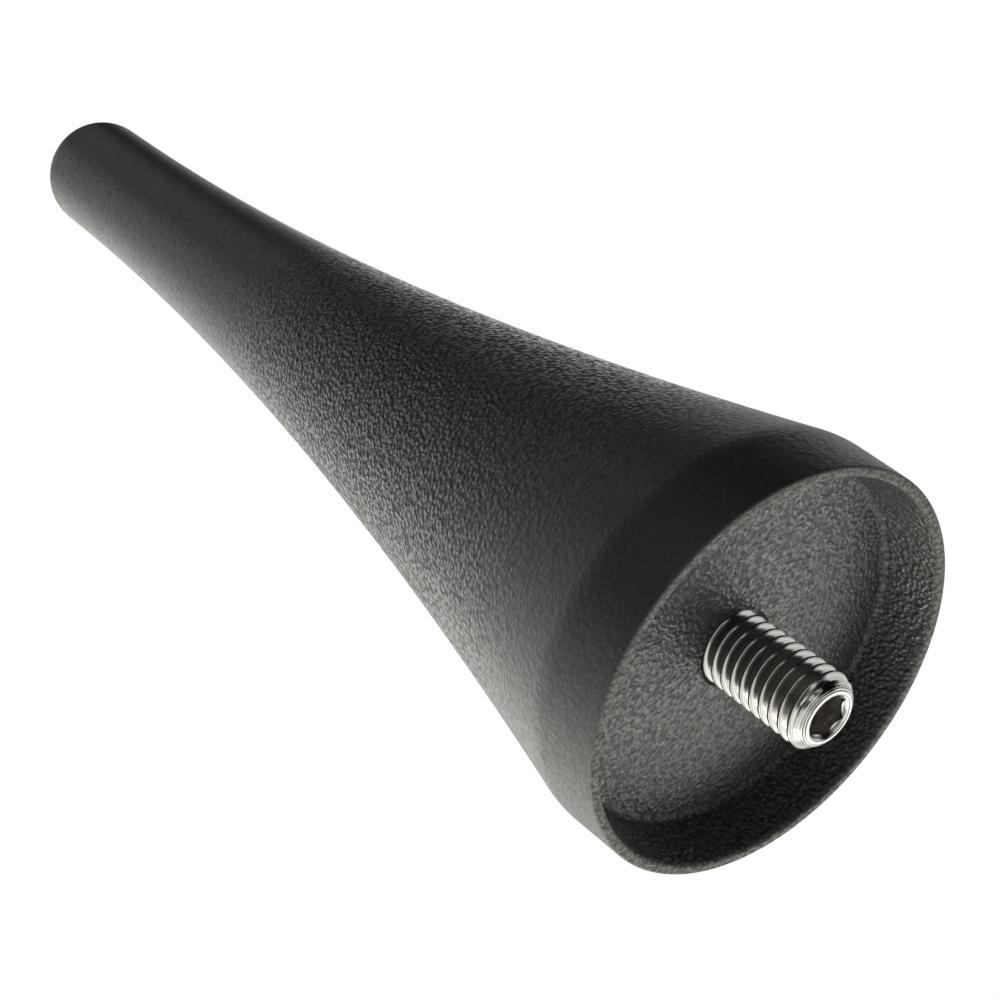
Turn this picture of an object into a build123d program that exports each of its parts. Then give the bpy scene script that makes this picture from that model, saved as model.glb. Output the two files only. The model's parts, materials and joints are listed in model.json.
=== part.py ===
from build123d import *
import os
from math import radians, sqrt, tan

# A short mast aerial for a car, in millimetres. The origin is the centre of the rim that
# seats on the car, +Z runs up the mast to its tip, and the stud points down.

# Mast, from the tip down to the rim
mast_length = 101.6            # from the rim to the tip
tip_diameter = 10.6
tip_length = 7.9               # domed and cylindrical, down to where the flare starts
tip_crown = 2.6                # rise of the dome's crown over the full tip diameter
tip_round = 3.0                # between the crown and the cylinder
shoulder_height = 4.7          # where the flare meets the land, above the rim
shoulder_round = 5.0
land_taper = 3.0               # degrees, the land narrows from the shoulder to the rim
rim_diameter = 27.6
rim_wall = 0.65
rim_round = 0.2

# Recess in the base
recess_depth = 3.7
recess_draft = 13.0            # degrees, the wall opens towards the rim
recess_corner_round = 0.5
countersink = 0.45             # at the mouth of the stud's hole

# Stud: a socket set screw with a flat point
thread_diameter = 5.0
thread_pitch = 0.8
stud_length = 16.0
stud_reach = 4.2               # how far it stands out past the rim
end_face_diameter = 3.7
end_chamfer = 0.7
end_round = 0.3
point_diameter = 3.5           # at the inner end
point_chamfer = 0.75
socket_across_flats = 2.5
socket_depth = 2.5
socket_drill_angle = 120.0     # degrees, the drill point left at the bottom
socket_mouth_chamfer = 0.12
socket_turn = 8.0              # degrees, where a corner of the hexagon stands

# The stud's engaged thread is held in the mast with this much room all round
thread_clearance = 0.02

# Radii and heights that follow from the sizes above
tip_radius = tip_diameter / 2
rim_radius = rim_diameter / 2
rim_inner_radius = rim_radius - rim_wall
floor_radius = rim_inner_radius - recess_depth * tan(radians(recess_draft))
shoulder_radius = rim_radius + shoulder_height * tan(radians(land_taper))
crown_base = mast_length - tip_crown
flare_top = mast_length - tip_length
thread_radius = thread_diameter / 2
# The two threads mesh at the pitch cylinder, three eighths of the sharp thread's height in
sharp_thread_height = thread_pitch * sqrt(3) / 2
engaged_radius = thread_radius - sharp_thread_height * 3 / 8
hole_radius = engaged_radius + thread_clearance
hole_floor = stud_length - stud_reach
end_face_radius = end_face_diameter / 2


def round_edge(corner, size):
    """Round the turned edge that passes through a corner of the profile, given as radius and
    height."""
    at = (corner[0], 0, corner[1])
    fillet(edges().filter_by(GeomType.CIRCLE).sort_by_distance(at)[0], size)


def make_mast():
    """The trumpet, its recess and its blind hole, turned from one profile."""
    tip = (0, mast_length)
    tip_edge = (tip_radius, crown_base)
    flare_start = (tip_radius, flare_top)
    shoulder = (shoulder_radius, shoulder_height)
    rim_outer = (rim_radius, 0)
    rim_inner = (rim_inner_radius, 0)
    floor_corner = (floor_radius, recess_depth)
    with BuildPart() as mast:
        with BuildSketch(Plane.XZ):
            with BuildLine():
                TangentArc(tip, tip_edge, tangent=(1, 0))
                Line(tip_edge, flare_start)
                TangentArc(flare_start, shoulder, tangent=(0, -1))
                Polyline(
                    shoulder,
                    rim_outer,
                    rim_inner,
                    floor_corner,
                    (hole_radius + countersink, recess_depth),
                    (hole_radius, recess_depth + countersink),
                    (hole_radius, hole_floor),
                    (0, hole_floor),
                    tip,
                )
            make_face()
        revolve(axis=Axis.Z)
        round_edge(tip_edge, tip_round)
        round_edge(shoulder, shoulder_round)
        round_edge(rim_outer, rim_round)
        round_edge(rim_inner, rim_round)
        round_edge(floor_corner, recess_corner_round)
    return mast.part


def make_stud():
    """The set screw: its exposed thread as a full cylinder, its engaged thread at the pitch
    cylinder, and a hexagon socket in its outer end."""
    end = -stud_reach
    end_edge = (end_face_radius, end)
    chamfer_edge = (thread_radius, end + end_chamfer)
    point_edge = point_diameter / 2
    socket_bottom = end + socket_depth
    drill_height = socket_across_flats / 2 / tan(radians(socket_drill_angle / 2))
    mouth_radius = socket_across_flats / sqrt(3) + socket_mouth_chamfer
    with BuildPart() as stud:
        with BuildSketch(Plane.XZ):
            with BuildLine():
                Polyline(
                    (0, end),
                    end_edge,
                    chamfer_edge,
                    (thread_radius, recess_depth),
                    (engaged_radius, recess_depth),
                    (engaged_radius, hole_floor - point_chamfer),
                    (point_edge, hole_floor),
                    (0, hole_floor),
                    close=True,
                )
            make_face()
        revolve(axis=Axis.Z)
        round_edge(end_edge, end_round)
        round_edge(chamfer_edge, end_round)
        with BuildSketch(Plane.XY.offset(end)):
            RegularPolygon(
                socket_across_flats / 2, 6, major_radius=False, rotation=socket_turn
            )
        extrude(amount=socket_depth, mode=Mode.SUBTRACT)
        with Locations((0, 0, socket_bottom + drill_height / 2)):
            Cone(socket_across_flats / 2, 0, drill_height, mode=Mode.SUBTRACT)
        with Locations((0, 0, end + mouth_radius / 2)):
            Cone(mouth_radius, 0, mouth_radius, mode=Mode.SUBTRACT)
    return stud.part


os.makedirs("parts", exist_ok=True)
export_step(make_mast(), "parts/mast.step")
export_step(make_stud(), "parts/threaded_stud.step")
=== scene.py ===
import json
from math import asin, atan2, cos, pi, radians, sin, sqrt, tan

import bmesh
import bpy
from bpy.props import FloatProperty, FloatVectorProperty, IntProperty, PointerProperty
from mathutils import Matrix, Quaternion, Vector


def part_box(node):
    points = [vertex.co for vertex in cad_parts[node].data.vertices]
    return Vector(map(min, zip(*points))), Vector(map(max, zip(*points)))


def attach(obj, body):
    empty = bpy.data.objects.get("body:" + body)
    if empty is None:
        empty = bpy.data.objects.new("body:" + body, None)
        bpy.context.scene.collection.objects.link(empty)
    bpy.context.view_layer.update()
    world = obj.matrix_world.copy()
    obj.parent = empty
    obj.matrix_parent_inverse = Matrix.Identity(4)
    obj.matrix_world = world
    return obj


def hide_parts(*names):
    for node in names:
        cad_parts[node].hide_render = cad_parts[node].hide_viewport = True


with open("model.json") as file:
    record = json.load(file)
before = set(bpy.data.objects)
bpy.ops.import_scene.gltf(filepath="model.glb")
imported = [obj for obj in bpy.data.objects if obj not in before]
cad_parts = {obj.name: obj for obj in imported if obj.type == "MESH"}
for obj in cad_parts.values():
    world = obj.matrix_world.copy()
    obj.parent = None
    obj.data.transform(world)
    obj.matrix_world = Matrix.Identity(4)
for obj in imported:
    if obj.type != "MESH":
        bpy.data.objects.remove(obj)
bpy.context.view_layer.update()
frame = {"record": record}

bl_info = {
    "name": "Car mast aerial",
    "version": (1, 0, 0),
    "blender": (4, 5, 0),
    "location": "3D View > Sidebar > Aerial",
    "description": "Builds the coated mast, its threaded stud and the studio round them",
    "category": "Object",
}

MM = 0.001
WELD = 1e-7
NEAREST_SEEN = 1.0 * MM
mast_low, mast_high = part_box("mast")
stud_low, stud_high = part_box("threaded_stud")

# Edges that bend more than this stay sharp
MAST_CREASE = radians(30)
STUD_CREASE = radians(35)

# Between the two flanks of the thread, and between two corners of the hexagon
THREAD_ANGLE = radians(60)
HEXAGON_STEP = radians(60)

# Turns wound past the lower and the upper end of the thread, and cut off again
SPARE_BELOW = 3
SPARE_ABOVE = 2

# The drill's point is a little narrower than the hexagon's flats
DRILL_SHARE = 0.98

# The coat's pebbles are soft cells, with wrinkles a little closer than the cells
CELL_SOFTNESS = 0.6
WRINKLES_PER_CELL = 1.25
WRINKLE_DETAIL = 1.5

# The recess's grain fades out between its floor and this many recess depths over the rim
RECESS_END = 1.2

# Heights of the grain, spread from painted shade in the pits to painted light on the tops, of the
# turning marks, spread from painted shade to plain steel, and of the stains, spread from dark to pale
PIT_TO_TOP_RANGE = (-0.25, 0.25)
MARK_RANGE = (0.42, 0.62)
STAIN_RANGE = (0.35, 0.65)

# How far past the radius of the socket's mouth the stain fades out
STAIN_EDGE = 1.02

# Colours of the studio
WHITE = (1.0, 1.0, 1.0, 1.0)
FLOOR_TINT = (0.85, 0.85, 0.85)
BLACK_TINT = (0.01, 0.01, 0.01)
WHITE_TINT = (0.8, 0.8, 0.8)

# Ways that the floor and the cards face
UP = (0.0, 0.0, 1.0)
DOWN = (0.0, 0.0, -1.0)
BACK = (0.0, 1.0, 0.0)
LEFT = (-1.0, 0.0, 0.0)
RIGHT = (1.0, 0.0, 0.0)
UP_RIGHT = (0.74, -0.36, 0.56)

# Each card's place, the way it faces, its width and its depth, in metres
BLACK_CARDS = {
    "front_card": ((0.1, -0.35, 0.15), BACK, 0.7, 0.6),
    "top_card": ((0.45, -0.15, 0.4), DOWN, 0.9, 0.5),
    "under_card": ((-0.02, -0.3, -0.2), UP, 0.2, 0.22),
    "down_card": ((0.02, -0.01, -0.2), UP, 0.12, 0.07),
    "low_card": ((0.26, -0.0975, -0.2), UP, 0.32, 0.405),
    "right_card": ((0.46, -0.1, 0.125), LEFT, 0.6, 0.75),
}
WHITE_CARDS = {
    "left_glow": ((-0.3, -0.06, -0.06), RIGHT, 0.34, 0.36),
    "low_glow": ((-0.25, 0.12, -0.19), UP_RIGHT, 0.28, 0.28),
    "front_glow": ((0.11, -0.34, 0.035), BACK, 0.24, 0.13),
}

# What the lamps point at
BASE = (0.0, 0.0, 0.0)
MIDDLE = (0.0, 0.0, 0.05)
TIP = (0.0, 0.0, mast_high[2])

# Each lamp's place, what it points at, its width and its depth, in metres
LAMPS = {
    "key": ((-0.37, 0.22, 0.62), MIDDLE, 0.5, 0.5),
    "back": ((-0.02, 0.29, -0.19), BASE, 0.36, 0.22),
    "left": ((-0.27, 0.08, -0.06), BASE, 0.2, 0.12),
    "land": ((-0.13, 0.035, 0.05), BASE, 0.16, 0.16),
    "fill": ((0.06, -0.07, 0.2), TIP, 0.1, 0.1),
    "rim": ((0.08, 0.25, 0.35), MIDDLE, 0.15, 0.15),
}


def slot_colour(slot):
    """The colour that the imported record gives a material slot."""
    for material in frame["record"]["materials"]:
        if material["slot"] == slot:
            return tuple(material["base_color"])
    raise RuntimeError("The record has no material slot " + slot)


def length(name, description, default):
    """A length that the user can change, in metres."""
    return FloatProperty(
        name=name, description=description, default=default, min=0.0, unit="LENGTH", precision=5
    )


def turn(name, description, degrees):
    """An angle that the user can change."""
    return FloatProperty(name=name, description=description, default=radians(degrees), subtype="ANGLE")


def share(name, description, default):
    """A value from nothing to full that the user can change."""
    return FloatProperty(
        name=name, description=description, default=default, min=0.0, max=1.0, subtype="FACTOR"
    )


def colour(name, description, default):
    """A colour that the user can change."""
    return FloatVectorProperty(
        name=name, description=description, default=default, size=3, min=0.0, max=1.0, subtype="COLOR"
    )


def place(name, description, default):
    """A point that the user can change, in metres."""
    return FloatVectorProperty(
        name=name, description=description, default=default, size=3, subtype="TRANSLATION", unit="LENGTH"
    )


def count(name, description, default):
    """A number of divisions that the user can change."""
    return IntProperty(name=name, description=description, default=default, min=3)


def power(name, description, default):
    """A lamp's power that the user can change."""
    return FloatProperty(name=name, description=description, default=default, min=0.0, unit="POWER")


def ratio(name, description, default):
    """A factor of any size that the user can change."""
    return FloatProperty(name=name, description=description, default=default, min=0.0)


class MastSizes(bpy.types.PropertyGroup):
    """The mast's turned form, with its rim on the XY plane."""

    mast_length: length("Mast length", "From the rim to the tip", mast_high[2] - mast_low[2])
    tip_diameter: length("Tip diameter", "Of the cylinder under the dome", 10.6 * MM)
    tip_length: length("Tip length", "From the tip to the start of the flare", 7.9 * MM)
    tip_crown: length("Tip crown", "Rise of the crown over the full tip diameter", 2.6 * MM)
    tip_round: length("Tip round", "Between the crown and the cylinder", 3.0 * MM)
    shoulder_height: length("Shoulder height", "Of the flare's lower end over the rim", 4.7 * MM)
    shoulder_round: length("Shoulder round", "Between the flare and the land", 5.0 * MM)
    land_taper: turn("Land taper", "How much the land narrows towards the rim", 3.0)
    rim_diameter: length("Rim diameter", "Outside diameter at the rim", 27.6 * MM)
    rim_wall: length("Rim wall", "Thickness of the wall at the rim", 0.65 * MM)
    rim_round: length("Rim round", "On both edges of the rim", 0.2 * MM)
    recess_depth: length("Recess depth", "From the rim to the recess floor", 3.7 * MM)
    recess_draft: turn("Recess draft", "How much the recess opens towards the rim", 13.0)
    corner_round: length("Corner round", "Between the recess wall and its floor", 0.5 * MM)
    countersink: length("Countersink", "At the mouth of the stud's hole", 0.45 * MM)
    hole_diameter: length("Hole diameter", "Of the plain hole round the stud", 4.52 * MM)
    segments: count("Segments", "Steps round the mast", 192)
    flare_steps: count("Flare steps", "Steps along the flare", 72)
    round_steps: count("Round steps", "Steps on each rounded edge", 8)


class CoatLook(bpy.types.PropertyGroup):
    """The wrinkled black coat."""

    tint: colour("Colour", "Colour of the coat", slot_colour("black_coat"))
    top_roughness: share("Top roughness", "Of the tops of the pebbles", 0.33)
    pit_roughness: share("Pit roughness", "Of the pits between the pebbles", 0.62)
    # Painted shade in the pits and painted light on the tops of the pebbles
    painted_pit_shade: share("Pit shade", "How much darker the pits are, and how much paler the tops", 0.62)
    # The paler colour of the rim
    rim_pale_tint: colour("Seat colour", "Of the rim, which rubs on its seat", (0.135, 0.135, 0.129))
    seat_dulling: share("Seat dulling", "Added to the roughness on the rim", 0.52)
    recess_grain: length("Recess grain", "Spacing of the pebbles in the recess", 0.31 * MM)
    flank_grain: length("Flank grain", "Spacing of the pebbles outside the recess", 0.34 * MM)
    grain_height: length("Grain height", "Height of the pebbles in the recess", 0.098 * MM)
    flank_height: length("Flank height", "Height of the pebbles where they stand highest", 0.23 * MM)
    rough_height: length("Rough height", "Of the highest pebbles on the flank, over the rim", 36.0 * MM)
    rough_drop: length("Rough drop", "From there down to where the pebbles are worn low", 30.0 * MM)
    rough_climb: length("Rough climb", "From there up to where the pebbles are worn low", 24.0 * MM)
    worn_grain: share("Worn grain", "Height of the worn pebbles, against the highest ones", 0.09)
    # Contrast of the painted pit shade and top light on the flank, and of the roughness that goes with
    # them
    flank_pebble_contrast: ratio("Flank speckle", "Contrast of the flank's speckle, against the recess", 3.0)


class StudSizes(bpy.types.PropertyGroup):
    """The socket set screw, with its socket pointing down."""

    thread_diameter: length("Thread diameter", "Over the crests", stud_high[0] - stud_low[0])
    pitch: length("Pitch", "Rise of the thread in one turn", 0.8 * MM)
    crest_height: length("Crest height", "Of one crest on the +X side, over the rim", 0.1 * MM)
    crest_width: length("Crest width", "Of the thread, before it is rounded", 0.16 * MM)
    root_width: length("Root width", "Flat between two turns of the thread", 0.12 * MM)
    crest_round: length("Crest round", "On the edges of the crest", 0.03 * MM)
    end_face_diameter: length("End face diameter", "Where the chamfer would meet the end", 3.7 * MM)
    end_chamfer: length("End chamfer", "Length of the chamfer along the stud", 0.7 * MM)
    groove_fade: length("Groove fade", "Over which the last groove runs out", 0.25 * MM)
    end_round: length("End round", "Between the end face and the chamfer", 0.62 * MM)
    socket_across_flats: length("Socket across flats", "Of the hexagon", 2.5 * MM)
    socket_depth: length("Socket depth", "To the flat bottom of the hexagon", 2.5 * MM)
    socket_drill: turn("Socket drill", "Angle of the drill point at the bottom", 120.0)
    socket_mouth: length("Socket mouth", "Chamfer round the hexagon's corners", 0.12 * MM)
    socket_turn: turn("Socket turn", "Where a corner of the hexagon stands", 8.0)
    run_out: length("Run-out", "Where the thread ends inside the mast", 4.4 * MM)
    engaged_diameter: length("Engaged diameter", "Of the plain length inside the mast", 4.48 * MM)
    point_diameter: length("Point diameter", "Of the flat inner end", 3.5 * MM)
    point_chamfer: length("Point chamfer", "Length of the chamfer at the inner end", 0.75 * MM)
    segments: count("Segments", "Steps in one turn of the thread", 120)
    flank_steps: count("Flank steps", "Steps across one flank of the thread", 5)
    crest_steps: count("Crest steps", "Steps on each edge of the crest", 5)
    round_steps: count("Round steps", "Steps on the round of the end", 8)


class SteelLook(bpy.types.PropertyGroup):
    """The bright stainless steel."""

    tint: colour("Colour", "Colour of the steel", slot_colour("stainless"))
    roughness: share("Roughness", "Gloss of the rolled thread", 0.19)
    mark_spacing: length("Mark spacing", "Between the turning marks", 0.11 * MM)
    mark_height: length("Mark height", "Of the turning marks on the thread", 0.007 * MM)
    end_marks: ratio("End marks", "Height of the marks on the end, against those on the thread", 4.0)
    # Painted shade in the bottoms of the turning marks, on the thread and on the end
    mark_painted_shade: share("Mark shade", "How much darker the bottoms of the turning marks are", 0.4)
    end_painted_shade: share("End shade", "How much darker the bottoms of the marks on the end are", 0.78)
    socket_tint: colour("Socket colour", "Of the stained steel in the socket", (0.42, 0.37, 0.335))
    socket_shade: share("Socket shade", "How much darker the darkest stains are", 0.75)
    # The mouth keeps bright steel, and painted shade with the stain grows in over this depth
    socket_shade_ramp: length("Socket clean", "Depth of the mouth that is still clean", 0.55 * MM)
    socket_stains: length("Socket stains", "Size of the stains in the socket", 0.6 * MM)
    socket_roughness: share("Socket roughness", "Gloss of the stained steel in the socket", 0.35)
    socket_metal: share("Socket metal", "How much of the socket is still bright metal", 0.3)


class StudioSetup(bpy.types.PropertyGroup):
    """The camera, the lamps and the floor."""

    camera_place: place("Camera place", "Of the lens", (-4.832 * MM, -82.768 * MM, -52.533 * MM))
    camera_pitch: turn("Camera pitch", "Up from the level, looking along +Y", 44.639)
    camera_roll: turn("Camera roll", "About the line of sight", -50.907)
    lens: FloatProperty(name="Lens", description="Focal length", default=59.05, unit="CAMERA")
    shift_right: FloatProperty(name="Shift right", description="Of the frame", default=0.05)
    shift_up: FloatProperty(name="Shift up", description="Of the frame", default=0.02)
    floor_height: FloatProperty(
        name="Floor height", description="Of the floor, under the rim", default=-0.3, unit="LENGTH"
    )
    floor_size: length("Floor size", "Of each side of the floor", 8.0)
    ambient: share("Ambient", "Strength of the light from all round", 0.15)
    floor_glow: share("Floor glow", "Paleness of the floor beyond the light on it", 0.78)
    card_glow: ratio("Card glow", "Of the white cards", 1.0)
    lamp_tint: colour("Lamp colour", "Of every lamp", (1.0, 0.985, 0.92))
    key_power: power("Key power", "Of the lamp over the mast", 1.05)
    back_power: power("Back power", "Of the lamp low behind the base", 0.84)
    left_power: power("Left power", "Of the lamp a little below the rim, on the left", 0.67)
    land_power: power("Land power", "Of the small lamp beside the base", 0.095)
    fill_power: power("Fill power", "Of the lamp in front of the tip", 0.018)
    rim_power: power("Rim power", "Of the lamp high behind the mast", 0.22)


class ProfilePen:
    """Draws half the section of a turned piece in the XZ plane, as radius and height."""

    def __init__(self, bm, radius, height):
        self.bm = bm
        self.point = bm.verts.new((radius, 0.0, height))

    def line(self, radius, height):
        """Draw a straight line to a new point, and return that point."""
        grown = bmesh.ops.extrude_vert_indiv(self.bm, verts=[self.point])
        self.point = grown["verts"][0]
        self.point.co = (radius, 0.0, height)
        return self.point

    def arc(self, radius, height, angle, steps):
        """Turn about a centre, clockwise with +X to the right, and return the end point."""
        turned = bmesh.ops.spin(
            self.bm,
            geom=[self.point],
            cent=(radius, 0.0, height),
            axis=(0.0, 1.0, 0.0),
            angle=angle,
            steps=steps,
        )
        self.point = verts_of(turned["geom_last"])[0]
        return self.point


def round_corner(bm, corner, radius, bend, steps):
    """Round a corner of a drawn section, where the line bends by an angle."""
    bmesh.ops.bevel(
        bm,
        geom=[corner],
        affect="VERTICES",
        offset_type="ABSOLUTE",
        offset=radius * tan(bend / 2),
        segments=steps,
        profile=0.5,
        material=-1,
    )


def mesh_from(bm, name):
    """Turn a bmesh into a mesh, and free the bmesh."""
    mesh = bpy.data.meshes.new(name)
    bm.to_mesh(mesh)
    bm.free()
    return mesh


def add_object(name, data):
    """A new object of the scene, at the origin."""
    made = bpy.data.objects.new(name, data)
    bpy.context.scene.collection.objects.link(made)
    return made


def finish_piece(bm, name, material, sharp_angle):
    """Turn a bmesh into a piece of the aerial, smooth but for its sharp edges."""
    bmesh.ops.remove_doubles(bm, verts=bm.verts, dist=WELD)
    bmesh.ops.recalc_face_normals(bm, faces=bm.faces)
    mesh = mesh_from(bm, name)
    mesh.shade_smooth()
    mesh.set_sharp_from_angle(angle=sharp_angle)
    mesh.materials.append(material)
    return add_object(name, mesh)


def draw_mast(bm, sizes):
    """The mast's half section, from the tip round to the bottom of the stud's hole."""
    tip_radius = sizes.tip_diameter / 2
    rim_radius = sizes.rim_diameter / 2
    rim_inner = rim_radius - sizes.rim_wall
    floor_radius = rim_inner - sizes.recess_depth * tan(sizes.recess_draft)
    shoulder_radius = rim_radius + sizes.shoulder_height * tan(sizes.land_taper)
    hole_radius = sizes.hole_diameter / 2
    hole_floor = stud_high[2]

    # The crown is an arc about the axis, and the tip's round touches it from inside
    crown_radius = (tip_radius**2 + sizes.tip_crown**2) / (2 * sizes.tip_crown)
    crown_centre = sizes.mast_length - crown_radius
    crown_turn = asin((tip_radius - sizes.tip_round) / (crown_radius - sizes.tip_round))
    round_centre = crown_centre + (crown_radius - sizes.tip_round) * cos(crown_turn)

    # The flare is one arc that leaves the cylinder without a crease
    flare_top = sizes.mast_length - sizes.tip_length
    flare_drop = flare_top - sizes.shoulder_height
    flare_width = shoulder_radius - tip_radius
    flare_radius = (flare_drop**2 + flare_width**2) / (2 * flare_width)
    flare_turn = asin(flare_drop / flare_radius)

    pen = ProfilePen(bm, 0.0, sizes.mast_length)
    pen.arc(0.0, crown_centre, crown_turn, sizes.round_steps)
    pen.arc(tip_radius - sizes.tip_round, round_centre, pi / 2 - crown_turn, sizes.round_steps)
    pen.line(tip_radius, flare_top)
    shoulder = pen.arc(tip_radius + flare_radius, flare_top, -flare_turn, sizes.flare_steps)
    rim_outer_corner = pen.line(rim_radius, 0.0)
    rim_inner_corner = pen.line(rim_inner, 0.0)
    floor_corner = pen.line(floor_radius, sizes.recess_depth)
    pen.line(hole_radius + sizes.countersink, sizes.recess_depth)
    pen.line(hole_radius, sizes.recess_depth + sizes.countersink)
    pen.line(hole_radius, hole_floor)
    pen.line(0.0, hole_floor)

    steps = sizes.round_steps
    round_corner(bm, shoulder, sizes.shoulder_round, flare_turn + sizes.land_taper, steps)
    round_corner(bm, rim_outer_corner, sizes.rim_round, pi / 2 - sizes.land_taper, steps)
    round_corner(bm, rim_inner_corner, sizes.rim_round, pi / 2 - sizes.recess_draft, steps)
    round_corner(bm, floor_corner, sizes.corner_round, pi / 2 - sizes.recess_draft, steps)


def make_mast(sizes, look):
    """The mast, turned in one piece."""
    bm = bmesh.new()
    draw_mast(bm, sizes)
    bmesh.ops.spin(
        bm,
        geom=bm.verts[:] + bm.edges[:],
        cent=(0.0, 0.0, 0.0),
        axis=(0.0, 0.0, 1.0),
        angle=2 * pi,
        steps=sizes.segments,
        use_merge=True,
    )
    return finish_piece(bm, "coated_mast", coat_material(look, sizes), MAST_CREASE)


def draw_thread(bm, sizes, start):
    """One pitch of the thread's section, from the middle of one root to the next."""
    crest = sizes.thread_diameter / 2
    flank = (sizes.pitch - sizes.crest_width - sizes.root_width) / 2
    root = crest - flank / tan(THREAD_ANGLE / 2)
    crest_bend = pi / 2 - THREAD_ANGLE / 2
    pen = ProfilePen(bm, root, start)
    heights = (
        start + sizes.root_width / 2,
        start + sizes.root_width / 2 + flank,
        start + sizes.root_width / 2 + flank + sizes.crest_width,
        start + sizes.pitch - sizes.root_width / 2,
    )
    pen.line(root, heights[0])
    for step in range(1, sizes.flank_steps):
        part = step / sizes.flank_steps
        pen.line(root + part * (crest - root), heights[0] + part * flank)
    lower_edge = pen.line(crest, heights[1])
    upper_edge = pen.line(crest, heights[2])
    for step in range(1, sizes.flank_steps):
        part = step / sizes.flank_steps
        pen.line(crest + part * (root - crest), heights[2] + part * flank)
    pen.line(root, heights[3])
    pen.line(root, start + sizes.pitch)
    for edge in (lower_edge, upper_edge):
        round_corner(bm, edge, sizes.crest_round, crest_bend, sizes.crest_steps)
    return root


def chamfer_slope(sizes):
    """How fast the stud's end widens along its chamfer."""
    return (sizes.thread_diameter - sizes.end_face_diameter) / 2 / sizes.end_chamfer


def chamfer_limit(sizes, height):
    """The largest radius that the chamfer leaves the stud at a height."""
    return sizes.end_face_diameter / 2 + (height - stud_low[2]) * chamfer_slope(sizes)


def smooth_end(sizes):
    """The height where the turned end of the stud meets its thread."""
    return stud_low[2] + sizes.end_chamfer - sizes.groove_fade


def mouth_radius(sizes):
    """The radius of the socket's chamfered mouth on the end face."""
    return sizes.socket_across_flats / sqrt(3) + sizes.socket_mouth


def cut_flat(bm, height, keep_above):
    """Cut the thread off flat, and return the edges of the cut."""
    direction = -1.0 if keep_above else 1.0
    cut = bmesh.ops.bisect_plane(
        bm,
        geom=bm.verts[:] + bm.edges[:] + bm.faces[:],
        dist=WELD,
        plane_co=(0.0, 0.0, height),
        plane_no=(0.0, 0.0, direction),
        clear_outer=True,
    )
    return edges_of(cut["geom_cut"])


def edges_of(parts):
    """The edges among the parts that an operator made."""
    return [part for part in parts if isinstance(part, bmesh.types.BMEdge)]


def verts_of(parts):
    """The vertices among the parts that an operator made."""
    return [part for part in parts if isinstance(part, bmesh.types.BMVert)]


def ring_verts(edges):
    """The vertices along a ring of edges."""
    return {vert for edge in edges for vert in edge.verts}


def grow_ring(bm, edges, radius=None, height=None):
    """Grow a ring of edges about the axis into a band that ends at another radius or height."""
    grown = bmesh.ops.extrude_edge_only(bm, edges=edges)["geom"]
    for vert in verts_of(grown):
        flat = vert.co.to_2d()
        if radius is not None:
            flat = flat.normalized() * radius
        vert.co = (flat.x, flat.y, vert.co.z if height is None else height)
    return edges_of(grown)


def split_ring(bm, edges, turned):
    """Split the faces along a ring at the six corners of a hexagon, and return the whole ring."""
    height = edges[0].verts[0].co.z
    band = list({face for edge in edges for face in edge.link_faces})
    for step in range(3):
        angle = turned + step * HEXAGON_STEP
        parts = set(band)
        for face in band:
            parts.update(face.edges)
            parts.update(face.verts)
        cut = bmesh.ops.bisect_plane(
            bm,
            geom=list(parts),
            dist=WELD,
            plane_co=(0.0, 0.0, 0.0),
            plane_no=(-sin(angle), cos(angle), 0.0),
        )
        band = [part for part in cut["geom"] if isinstance(part, bmesh.types.BMFace)]
    outline = {edge for face in band for edge in face.edges if len(edge.link_faces) == 1}
    return [edge for edge in outline if abs(edge.verts[0].co.z - height) < WELD]


def turn_end(bm, sizes, chamfer_edges):
    """The end of the stud, turned smooth from the chamfer over a round to the flat end face."""
    end = stud_low[2]
    bend = pi / 2 - atan2(chamfer_slope(sizes), 1.0)
    face_radius = sizes.end_face_diameter / 2 - sizes.end_round * tan(bend / 2)
    edges = chamfer_edges
    for step in range(sizes.round_steps + 1):
        lean = bend * (1 - step / sizes.round_steps)
        radius = face_radius + sizes.end_round * sin(lean)
        edges = grow_ring(bm, edges, radius, end + sizes.end_round * (1 - cos(lean)))
    return edges


def make_socket(bm, sizes, end_edges):
    """The hexagon socket, from the edge of the end face to the point that the drill left."""
    end = stud_low[2]
    bottom = end + sizes.socket_depth
    flat_radius = sizes.socket_across_flats / 2
    mouth_edge = mouth_radius(sizes)
    face = grow_ring(bm, end_edges, radius=mouth_edge)
    mouth = split_ring(bm, face, sizes.socket_turn)
    hexagon = grow_ring(bm, mouth)
    for vert in ring_verts(hexagon):
        flat = vert.co.to_2d()
        past_corner = (atan2(flat.y, flat.x) - sizes.socket_turn) % HEXAGON_STEP
        flat = flat.normalized() * flat_radius / cos(past_corner - HEXAGON_STEP / 2)
        vert.co = (flat.x, flat.y, end + mouth_edge - flat.length)
    foot = grow_ring(bm, hexagon, height=bottom)
    drilled = grow_ring(bm, foot, radius=DRILL_SHARE * flat_radius)
    tip = bottom + flat_radius / tan(sizes.socket_drill / 2)
    point = grow_ring(bm, drilled, radius=0.0, height=tip)
    bmesh.ops.pointmerge(bm, verts=list(ring_verts(point)), merge_co=(0.0, 0.0, tip))


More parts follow.
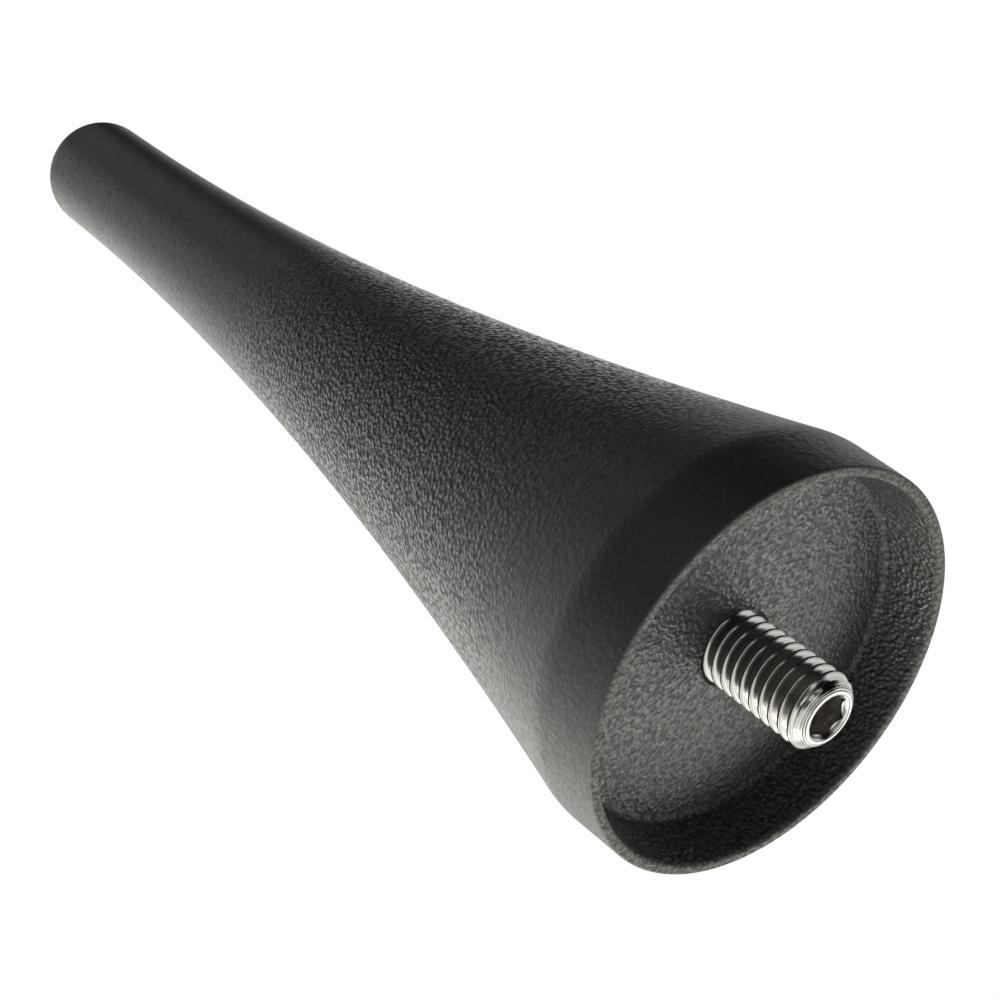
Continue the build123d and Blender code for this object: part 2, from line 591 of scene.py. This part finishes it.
def wind_thread(bm, sizes):
    """The thread: one turn wound by a spin, and that turn repeated along the stud."""
    end = stud_low[2]
    turns_below = int((sizes.crest_height - end) / sizes.pitch) + SPARE_BELOW
    # The drawn section starts at a root, half a pitch under its crest
    start = sizes.crest_height - (turns_below + 0.5) * sizes.pitch
    turns = int((sizes.run_out - start) / sizes.pitch) + SPARE_ABOVE
    root = draw_thread(bm, sizes, start)
    bmesh.ops.spin(
        bm,
        geom=bm.verts[:] + bm.edges[:],
        cent=(0.0, 0.0, 0.0),
        axis=(0.0, 0.0, 1.0),
        dvec=(0.0, 0.0, sizes.pitch / sizes.segments),
        angle=2 * pi,
        steps=sizes.segments,
    )
    first_turn = bm.verts[:] + bm.edges[:] + bm.faces[:]
    for turn_number in range(1, turns):
        copied = bmesh.ops.duplicate(bm, geom=first_turn)["geom"]
        bmesh.ops.translate(bm, verts=verts_of(copied), vec=(0.0, 0.0, turn_number * sizes.pitch))
    bmesh.ops.remove_doubles(bm, verts=bm.verts, dist=WELD)
    return root


def trim_thread(bm, sizes, root):
    """Take the crests down at the chamfer and the run-out, and fade the last groove."""
    end = stud_low[2]
    crest = sizes.thread_diameter / 2
    run_out_start = sizes.run_out - (crest - root)
    for vert in bm.verts:
        radius = vert.co.to_2d().length
        wanted = radius
        if vert.co.z < end + sizes.end_chamfer:
            limit = max(chamfer_limit(sizes, vert.co.z), sizes.end_face_diameter / 2)
            fade = min(1.0, (end + sizes.end_chamfer - vert.co.z) / sizes.groove_fade)
            wanted = min(limit, max(radius, root + (limit - root) * fade))
        elif vert.co.z > run_out_start:
            wanted = min(radius, max(root, crest - (vert.co.z - run_out_start)))
        vert.co.x *= wanted / radius
        vert.co.y *= wanted / radius


def make_stud(sizes, look):
    """The set screw: a wound thread with a chamfered end, a plain inner length and a socket."""
    bm = bmesh.new()
    root = wind_thread(bm, sizes)
    trim_thread(bm, sizes, root)
    inner_cut = cut_flat(bm, sizes.run_out, keep_above=False)
    chamfer_cut = cut_flat(bm, smooth_end(sizes), keep_above=True)
    make_socket(bm, sizes, turn_end(bm, sizes, chamfer_cut))
    engaged = sizes.engaged_diameter / 2
    inner_end = stud_high[2]
    step_out = grow_ring(bm, inner_cut, radius=engaged)
    plain = grow_ring(bm, step_out, height=inner_end - sizes.point_chamfer)
    point = grow_ring(bm, plain, radius=sizes.point_diameter / 2, height=inner_end)
    bmesh.ops.edgeloop_fill(bm, edges=point)
    return finish_piece(bm, "stainless_stud", steel_material(look, sizes), STUD_CREASE)


def link(tree, source, target):
    """Join an output socket to an input socket."""
    tree.links.new(source, target)


def math_node(tree, operation, one, two=None):
    """A Math node fed by sockets or plain numbers, and its output."""
    node = tree.nodes.new("ShaderNodeMath")
    node.operation = operation
    for socket, value in zip(node.inputs, (one, two)):
        if isinstance(value, bpy.types.NodeSocket):
            link(tree, value, socket)
        elif value is not None:
            socket.default_value = value
    return node.outputs[0]


def axis_radius(tree, spot):
    """The distance of a point of the surface from the aerial's axis."""
    across = tree.nodes.new("ShaderNodeVectorMath")
    across.operation = "MULTIPLY"
    across.inputs[1].default_value = (1.0, 1.0, 0.0)
    radius = tree.nodes.new("ShaderNodeVectorMath")
    radius.operation = "LENGTH"
    link(tree, spot.outputs["Object"], across.inputs[0])
    link(tree, across.outputs["Vector"], radius.inputs[0])
    return radius.outputs["Value"]


def axis_height(tree, spot):
    """The height of a point of the surface over the rim."""
    parts = tree.nodes.new("ShaderNodeSeparateXYZ")
    link(tree, spot.outputs["Object"], parts.inputs[0])
    return parts.outputs["Z"]


def map_range(tree, value, from_range, to_range, ease=False):
    """A value carried from one range to another, and held at its ends."""
    node = tree.nodes.new("ShaderNodeMapRange")
    node.interpolation_type = "SMOOTHSTEP" if ease else "LINEAR"
    node.inputs["From Min"].default_value = from_range[0]
    node.inputs["From Max"].default_value = from_range[1]
    node.inputs["To Min"].default_value = to_range[0]
    node.inputs["To Max"].default_value = to_range[1]
    link(tree, value, node.inputs["Value"])
    return node.outputs["Result"]


def mix_colours(tree, factor, one, two):
    """A colour between two others, which are plain colours or come from other nodes."""
    node = tree.nodes.new("ShaderNodeMix")
    node.data_type = "RGBA"
    link(tree, factor, node.inputs["Factor"])
    for name, value in (("A", one), ("B", two)):
        if isinstance(value, bpy.types.NodeSocket):
            link(tree, value, node.inputs[name])
        else:
            node.inputs[name].default_value = (*value, 1.0)
    return node.outputs["Result"]


def scaled(tint, factor):
    """A colour made darker or paler."""
    return tuple(part * factor for part in tint)


def pebbles(tree, spot, spacing):
    """The uneven height of a wrinkled coat, from soft cells and a little noise."""
    cells = tree.nodes.new("ShaderNodeTexVoronoi")
    cells.feature = "SMOOTH_F1"
    cells.inputs["Scale"].default_value = 1.0 / spacing
    cells.inputs["Smoothness"].default_value = CELL_SOFTNESS
    wrinkles = tree.nodes.new("ShaderNodeTexNoise")
    wrinkles.inputs["Scale"].default_value = WRINKLES_PER_CELL / spacing
    wrinkles.inputs["Detail"].default_value = WRINKLE_DETAIL
    link(tree, spot.outputs["Object"], cells.inputs["Vector"])
    link(tree, spot.outputs["Object"], wrinkles.inputs["Vector"])
    return math_node(tree, "SUBTRACT", wrinkles.outputs["Fac"], cells.outputs["Distance"])


def new_material(name):
    """A new material, and its shader."""
    material = bpy.data.materials.new(name)
    material.use_nodes = True
    return material, material.node_tree.nodes["Principled BSDF"]


def add_relief(tree, shader, height, distance):
    """Bump a surface by a height, which is counted in a distance."""
    relief = tree.nodes.new("ShaderNodeBump")
    relief.inputs["Distance"].default_value = distance
    link(tree, height, relief.inputs["Height"])
    link(tree, relief.outputs["Normal"], shader.inputs["Normal"])


def paint_pit_shade_and_top_light(tree, top, tint, shade):
    """A colour with painted shade in the pits of the coat and painted light on its tops."""
    return mix_colours(tree, top, scaled(tint, 1 - shade), scaled(tint, 1 + shade))


def coat_grain(tree, spot, rise, inner, look, sizes):
    """The close grain of the recess and the rim, and the flank's grain, worn low at its ends."""
    floor_height = sizes.recess_depth
    low = map_range(tree, rise, (floor_height, RECESS_END * floor_height), (1.0, 0.0))
    recess = math_node(tree, "MULTIPLY", low, inner)
    close = math_node(tree, "MULTIPLY", pebbles(tree, spot, look.recess_grain), recess)
    flank = math_node(tree, "SUBTRACT", 1.0, recess)
    roughest = look.rough_height
    worn = look.worn_grain
    under = map_range(tree, rise, (roughest - look.rough_drop, roughest), (worn, 1.0), ease=True)
    over = map_range(tree, rise, (roughest, roughest + look.rough_climb), (1.0, worn), ease=True)
    outside = math_node(tree, "MULTIPLY", math_node(tree, "MINIMUM", under, over), flank)
    wide = math_node(tree, "MULTIPLY", pebbles(tree, spot, look.flank_grain), outside)
    return close, wide


def coat_material(look, sizes):
    """The pebbled black coat, with painted shade in its pits and painted light on its tops."""
    material, shader = new_material("pebbled_black_coat")
    tree = material.node_tree
    spot = tree.nodes.new("ShaderNodeTexCoord")
    rise = axis_height(tree, spot)
    rim_radius = sizes.rim_diameter / 2
    rim_edge = (rim_radius - sizes.rim_round, rim_radius)
    inner = map_range(tree, axis_radius(tree, spot), rim_edge, (1.0, 0.0))
    close, wide = coat_grain(tree, spot, rise, inner, look, sizes)
    tall = math_node(tree, "MULTIPLY", wide, look.flank_height / look.grain_height)
    add_relief(tree, shader, math_node(tree, "ADD", close, tall), look.grain_height)
    strong = math_node(tree, "MULTIPLY", wide, look.flank_pebble_contrast)
    top = map_range(tree, math_node(tree, "ADD", close, strong), PIT_TO_TOP_RANGE, (0.0, 1.0))
    # Painted shade in the pits and painted light on the tops, following the height of the pebbles
    painted_pebble_light = paint_pit_shade_and_top_light(tree, top, look.tint, look.painted_pit_shade)
    gloss = map_range(tree, top, (0.0, 1.0), (look.pit_roughness, look.top_roughness))

    # The rim is paler, with half the painted pit shade and top light, and dulled where it rubs on its
    # seat
    seat = map_range(tree, rise, (0.0, 2 * sizes.rim_round), (1.0, 0.0))
    seat = math_node(tree, "MULTIPLY", seat, inner)
    pale_rim = paint_pit_shade_and_top_light(tree, top, look.rim_pale_tint, look.painted_pit_shade / 2)
    link(tree, mix_colours(tree, seat, painted_pebble_light, pale_rim), shader.inputs["Base Color"])
    dull = math_node(tree, "MULTIPLY", seat, look.seat_dulling)
    link(tree, math_node(tree, "ADD", gloss, dull), shader.inputs["Roughness"])
    return material


def steel_material(look, sizes):
    """Bright stainless steel with turning marks, stained inside the socket and given painted shade that
    grows with depth.
    """
    material, shader = new_material("bright_stainless")
    tree = material.node_tree
    spot = tree.nodes.new("ShaderNodeTexCoord")
    radius = axis_radius(tree, spot)
    rise = axis_height(tree, spot)

    # The marks run round the axis, and are deeper on the turned end; their bottoms carry painted shade,
    # darker on the end
    marks = tree.nodes.new("ShaderNodeTexNoise")
    marks.noise_dimensions = "1D"
    marks.inputs["Scale"].default_value = 1.0 / look.mark_spacing
    link(tree, radius, marks.inputs["W"])
    edge = smooth_end(sizes)
    end = map_range(tree, rise, (edge - sizes.groove_fade, edge), (1.0, 0.0))
    coarse = map_range(tree, end, (0.0, 1.0), (1.0, look.end_marks))
    mark_relief = math_node(tree, "MULTIPLY", marks.outputs["Fac"], coarse)
    add_relief(tree, shader, mark_relief, look.mark_height)
    raised = map_range(tree, marks.outputs["Fac"], MARK_RANGE, (0.0, 1.0))
    # Painted shade in the bottoms of the marks, stronger on the end
    thread_painted_shade = scaled(look.tint, 1 - look.mark_painted_shade)
    dark = mix_colours(tree, end, thread_painted_shade, scaled(look.tint, 1 - look.end_painted_shade))
    turned = mix_colours(tree, raised, dark, look.tint)

    # The stain, and painted shade that grows with depth, start where the hexagon's flats leave its
    # chamfered mouth
    wall = mouth_radius(sizes)
    flats_start = stud_low[2] + wall - sizes.socket_across_flats / 2
    # Painted shade that grows with depth into the socket
    shade_in_depth = map_range(tree, rise, (flats_start, flats_start + look.socket_shade_ramp), (0.0, 1.0))
    inside = map_range(tree, radius, (wall, STAIN_EDGE * wall), (1.0, 0.0))
    socket = math_node(tree, "MULTIPLY", shade_in_depth, inside)
    stains = tree.nodes.new("ShaderNodeTexNoise")
    stains.inputs["Scale"].default_value = 1.0 / look.socket_stains
    link(tree, spot.outputs["Object"], stains.inputs["Vector"])
    pale = map_range(tree, stains.outputs["Fac"], STAIN_RANGE, (0.0, 1.0))
    dark_tint = scaled(look.socket_tint, 1 - look.socket_shade)
    stained = mix_colours(tree, pale, dark_tint, look.socket_tint)
    link(tree, mix_colours(tree, socket, turned, stained), shader.inputs["Base Color"])
    gloss = map_range(tree, socket, (0.0, 1.0), (look.roughness, look.socket_roughness))
    link(tree, gloss, shader.inputs["Roughness"])
    metal = map_range(tree, socket, (0.0, 1.0), (1.0, look.socket_metal))
    link(tree, metal, shader.inputs["Metallic"])
    return material


def camera_turn(studio):
    """The camera's rotation, from its pitch and its roll."""
    forward = Vector((0.0, cos(studio.camera_pitch), sin(studio.camera_pitch)))
    return forward.to_track_quat("-Z", "Y") @ Quaternion((0.0, 0.0, 1.0), studio.camera_roll)


def add_camera(studio):
    """The camera at the photograph's place."""
    data = bpy.data.cameras.new("camera")
    data.lens = studio.lens
    data.shift_x = studio.shift_right
    data.shift_y = studio.shift_up
    data.clip_start = NEAREST_SEEN
    camera = add_object("camera", data)
    camera.location = studio.camera_place
    camera.rotation_mode = "QUATERNION"
    camera.rotation_quaternion = camera_turn(studio)
    bpy.context.scene.camera = camera


def add_lamp(name, spot, aim, width, depth, watts, tint):
    """A soft lamp that the camera doesn't see."""
    data = bpy.data.lights.new(name, "AREA")
    data.shape = "RECTANGLE"
    data.size = width
    data.size_y = depth
    data.energy = watts
    data.color = tint
    lamp = add_object(name, data)
    lamp.location = spot
    lamp.rotation_mode = "QUATERNION"
    lamp.rotation_quaternion = (Vector(aim) - Vector(spot)).to_track_quat("-Z", "Y")
    lamp.visible_camera = False


def add_plane(name, spot, normal, width, depth, material):
    """A flat sheet that belongs to the studio."""
    bm = bmesh.new()
    facing = Vector(normal).to_track_quat("Z", "Y").to_matrix().to_4x4()
    # The grid is one metre wide until its matrix gives it a size
    bmesh.ops.create_grid(
        bm,
        x_segments=1,
        y_segments=1,
        size=0.5,
        matrix=Matrix.Translation(spot) @ facing @ Matrix.Diagonal((width, depth, 1.0, 1.0)),
    )
    mesh = mesh_from(bm, name)
    mesh.materials.append(material)
    sheet = add_object(name, mesh)
    return sheet


def plain_material(name, tint):
    """A matt colour for the studio."""
    material, shader = new_material(name)
    shader.inputs["Base Color"].default_value = (*tint, 1.0)
    shader.inputs["Roughness"].default_value = 1.0
    shader.inputs["Specular IOR Level"].default_value = 0.0
    return material


def add_card(name, spot, normal, width, depth, material):
    """A card that shows only in reflections."""
    card = add_plane(name, spot, normal, width, depth, material)
    card.visible_camera = False
    card.visible_diffuse = False
    card.visible_shadow = False
    card.visible_transmission = False


def seen_rays(tree):
    """One for what the camera sees, also in metal and through glass, and nothing for other light."""
    path = tree.nodes.new("ShaderNodeLightPath")
    seen = math_node(tree, "ADD", path.outputs["Is Camera Ray"], path.outputs["Is Glossy Ray"])
    seen = math_node(tree, "ADD", seen, path.outputs["Is Transmission Ray"])
    return math_node(tree, "MINIMUM", seen, 1.0)


def floor_material(studio):
    """A pale floor, which still shows the shadow on it."""
    material = plain_material("pale_floor", FLOOR_TINT)
    tree = material.node_tree
    shader = tree.nodes["Principled BSDF"]
    shader.inputs["Emission Color"].default_value = WHITE
    glow = math_node(tree, "MULTIPLY", seen_rays(tree), studio.floor_glow)
    link(tree, glow, shader.inputs["Emission Strength"])
    return material


def white_material(studio):
    """A white that glows in the lamps' colour."""
    material = plain_material("white_card", WHITE_TINT)
    shader = material.node_tree.nodes["Principled BSDF"]
    shader.inputs["Emission Color"].default_value = (*studio.lamp_tint, 1.0)
    shader.inputs["Emission Strength"].default_value = studio.card_glow
    return material


def light_world(studio):
    """A white background, seen directly and in reflections, and a softer light from all round."""
    world = bpy.data.worlds.new("studio_world")
    bpy.context.scene.world = world
    world.use_nodes = True
    tree = world.node_tree
    tree.nodes.clear()
    strength = map_range(tree, seen_rays(tree), (0.0, 1.0), (studio.ambient, 1.0))
    glow = tree.nodes.new("ShaderNodeBackground")
    glow.inputs["Color"].default_value = WHITE
    out = tree.nodes.new("ShaderNodeOutputWorld")
    link(tree, strength, glow.inputs["Strength"])
    link(tree, glow.outputs["Background"], out.inputs["Surface"])


class AERIAL_OT_build_mast(bpy.types.Operator):
    """Build the coated mast in place of its CAD node"""

    bl_idname = "aerial.build_mast"
    bl_label = "Build mast"

    def execute(self, context):
        mast = make_mast(context.scene.aerial_mast, context.scene.aerial_coat)
        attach(mast, "root")
        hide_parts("mast")
        return {"FINISHED"}


class AERIAL_OT_build_stud(bpy.types.Operator):
    """Build the threaded stud in place of its CAD node"""

    bl_idname = "aerial.build_stud"
    bl_label = "Build stud"

    def execute(self, context):
        stud = make_stud(context.scene.aerial_stud, context.scene.aerial_steel)
        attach(stud, "root")
        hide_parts("threaded_stud")
        return {"FINISHED"}


class AERIAL_OT_build_stage(bpy.types.Operator):
    """Build the floor, the lamps, the cards and the camera"""

    bl_idname = "aerial.build_stage"
    bl_label = "Build stage"

    def execute(self, context):
        studio = context.scene.aerial_studio
        floor_place = (0.0, 0.0, studio.floor_height)
        side = studio.floor_size
        add_plane("floor", floor_place, UP, side, side, floor_material(studio))
        black = plain_material("black_card", BLACK_TINT)
        for name, (spot, normal, width, depth) in BLACK_CARDS.items():
            add_card(name, spot, normal, width, depth, black)
        white = white_material(studio)
        for name, (spot, normal, width, depth) in WHITE_CARDS.items():
            add_card(name, spot, normal, width, depth, white)
        for name, (spot, aim, width, depth) in LAMPS.items():
            watts = getattr(studio, name + "_power")
            add_lamp(name + "_lamp", spot, aim, width, depth, watts, studio.lamp_tint)
        light_world(studio)
        add_camera(studio)
        context.scene.view_settings.view_transform = "Standard"
        return {"FINISHED"}


class AERIAL_PT_sidebar(bpy.types.Panel):
    """Sizes, finishes and build steps of the aerial"""

    bl_idname = "AERIAL_PT_sidebar"
    bl_label = "Mast aerial"
    bl_space_type = "VIEW_3D"
    bl_region_type = "UI"
    bl_category = "Aerial"

    def draw(self, context):
        scene = context.scene
        steps = (
            ("aerial.build_mast", (scene.aerial_mast, scene.aerial_coat)),
            ("aerial.build_stud", (scene.aerial_stud, scene.aerial_steel)),
            ("aerial.build_stage", (scene.aerial_studio,)),
        )
        for step, groups in steps:
            box = self.layout.box()
            for group in groups:
                for name in group.__annotations__:
                    box.prop(group, name)
            box.operator(step)


CLASSES = (
    MastSizes,
    CoatLook,
    StudSizes,
    SteelLook,
    StudioSetup,
    AERIAL_OT_build_mast,
    AERIAL_OT_build_stud,
    AERIAL_OT_build_stage,
    AERIAL_PT_sidebar,
)
GROUPS = {
    "aerial_mast": MastSizes,
    "aerial_coat": CoatLook,
    "aerial_stud": StudSizes,
    "aerial_steel": SteelLook,
    "aerial_studio": StudioSetup,
}


def register():
    for made in CLASSES:
        bpy.utils.register_class(made)
    for name, group in GROUPS.items():
        setattr(bpy.types.Scene, name, PointerProperty(type=group))


def unregister():
    for name in GROUPS:
        delattr(bpy.types.Scene, name)
    for made in reversed(CLASSES):
        bpy.utils.unregister_class(made)


def main():
    """Build the aerial and its studio."""
    register()
    bpy.ops.aerial.build_mast()
    bpy.ops.aerial.build_stud()
    bpy.ops.aerial.build_stage()


if __name__ == "__main__":
    main()
